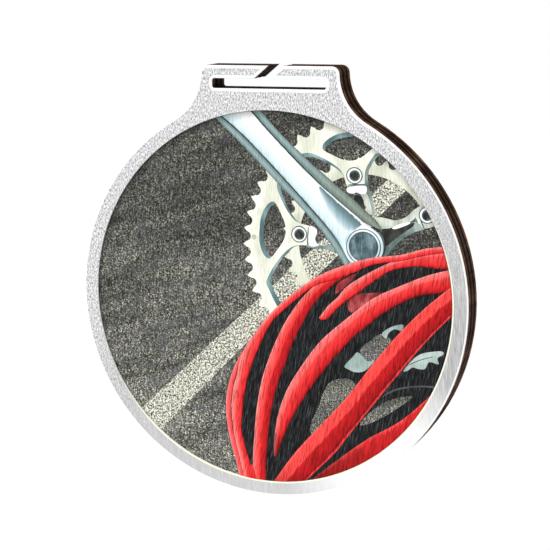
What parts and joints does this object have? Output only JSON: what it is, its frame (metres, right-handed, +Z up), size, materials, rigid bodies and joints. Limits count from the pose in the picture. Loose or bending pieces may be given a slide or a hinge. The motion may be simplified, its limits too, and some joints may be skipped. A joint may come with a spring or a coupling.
{
  "type": "sports finisher medal",
  "caption": "Round laser-cut plywood medal with a ribbon tab, a slanted ribbon slit, a raised brushed-silver border and an inset printed cycling picture.",
  "frame": {"origin": "middle of the ribbon slot, half way through the medal's thickness", "axes": "+Z up towards the tab's top edge, -Y out of the printed front, +X to the right as seen from the front"},
  "size_m": [0.075, 0.0062, 0.0801],
  "materials": {
    "silver_border": "brushed silver, fine speckle and vertical grain, white bevelled edge",
    "picture_disc": "printed picture with a vertical wood grain showing through, satin",
    "front_face_veneer": "birch, edge scorched brown by the laser",
    "crossband_veneer": "birch end grain, edge charred nearly black by the laser",
    "core_veneer": "birch, edge scorched brown by the laser",
    "glue_line": "cured dark glue",
    "back_face_veneer": "bare sanded birch, edge scorched brown"
  },
  "bodies": {
    "root": {"silver_border": "silver_border", "picture_disc": "picture_disc", "front_face_veneer": "front_face_veneer", "front_outer_glue_line": "glue_line", "front_crossband_veneer": "crossband_veneer", "front_inner_glue_line": "glue_line", "core_veneer": "core_veneer", "back_inner_glue_line": "glue_line", "back_crossband_veneer": "crossband_veneer", "back_outer_glue_line": "glue_line", "back_face_veneer": "back_face_veneer"}
  },
  "joints": []
}
